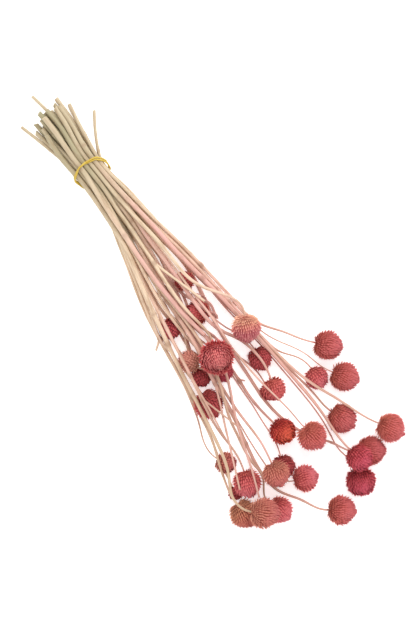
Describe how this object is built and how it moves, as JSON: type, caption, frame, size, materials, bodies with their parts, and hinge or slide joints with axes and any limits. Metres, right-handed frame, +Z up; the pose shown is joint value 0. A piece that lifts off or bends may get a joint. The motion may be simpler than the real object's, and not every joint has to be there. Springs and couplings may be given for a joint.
{
  "type": "dried globe amaranth bunch",
  "caption": "Tied bunch of dried, pink-dyed globe amaranth lying on its side: round papery flower heads on thin stiff stems held by a doubled rubber band.",
  "frame": {"origin": "centre of the bunch's box on the surface it lies on", "axes": "+X along the bunch from the cut ends to the flower heads, +Y across it, +Z up from the surface"},
  "size_m": [0.4518, 0.1674, 0.0502],
  "materials": {
    "flower_head": "dry papery bracts, dyed rose to crimson",
    "stem": "dry fibrous stem, straw to dusty pink",
    "rubber_band": "golden yellow rubber, satin"
  },
  "bodies": {
    "root": {"flower_head_01": "flower_head", "flower_head_02": "flower_head", "flower_head_03": "flower_head", "flower_head_04": "flower_head", "flower_head_05": "flower_head", "flower_head_06": "flower_head", "flower_head_07": "flower_head", "flower_head_08": "flower_head", "flower_head_09": "flower_head", "flower_head_10": "flower_head", "flower_head_11": "flower_head", "flower_head_12": "flower_head", "flower_head_13": "flower_head", "flower_head_14": "flower_head", "flower_head_15": "flower_head", "flower_head_16": "flower_head", "flower_head_17": "flower_head", "flower_head_18": "flower_head", "flower_head_19": "flower_head", "flower_head_20": "flower_head", "flower_head_21": "flower_head", "flower_head_22": "flower_head", "flower_head_23": "flower_head", "flower_head_24": "flower_head", "flower_head_25": "flower_head", "flower_head_26": "flower_head", "flower_head_27": "flower_head", "flower_head_28": "flower_head", "flower_head_29": "flower_head", "flower_head_30": "flower_head", "flower_head_31": "flower_head", "flower_head_32": "flower_head", "rubber_band": "rubber_band", "stem_01": "stem", "stem_02": "stem", "stem_03": "stem", "stem_04": "stem", "stem_05": "stem", "stem_06": "stem", "stem_07": "stem", "stem_08": "stem", "stem_09": "stem", "stem_10": "stem", "stem_11": "stem", "stem_12": "stem", "stem_13": "stem", "stem_14": "stem", "stem_15": "stem", "stem_16": "stem", "stem_17": "stem", "stem_18": "stem", "stem_19": "stem", "stem_20": "stem", "stem_21": "stem", "stem_22": "stem", "stem_23": "stem", "stem_24": "stem", "stem_25": "stem", "stem_26": "stem", "stem_27": "stem"}
  },
  "joints": []
}
